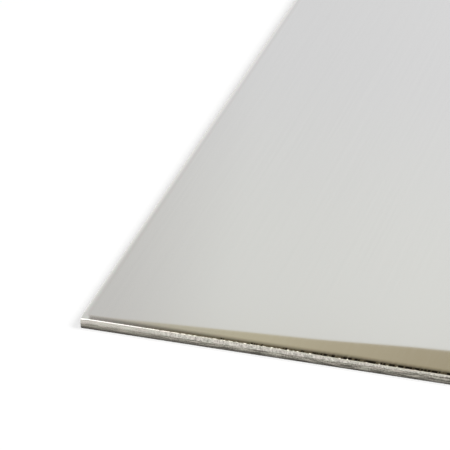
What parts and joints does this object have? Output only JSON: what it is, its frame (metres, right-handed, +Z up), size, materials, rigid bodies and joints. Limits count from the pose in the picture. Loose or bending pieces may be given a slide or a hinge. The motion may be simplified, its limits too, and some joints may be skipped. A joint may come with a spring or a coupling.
{
  "type": "plain stainless steel sheet",
  "caption": "Flat rectangular sheet of plain cold rolled stainless steel, cut square on a shear, with a rounded top arris and a broken lower edge.",
  "frame": {"origin": "middle of the underside, which lies on the ground", "axes": "+X across the sheet's width, +Y along its length, +Z up through its thickness towards the face with the rounded arris"},
  "size_m": [0.2, 0.3, 0.0015],
  "materials": {
    "stainless_steel": "bright cold rolled mill finish on both faces, bare sheared metal on the four edges"
  },
  "bodies": {
    "root": {"steel_sheet": "stainless_steel"}
  },
  "joints": []
}
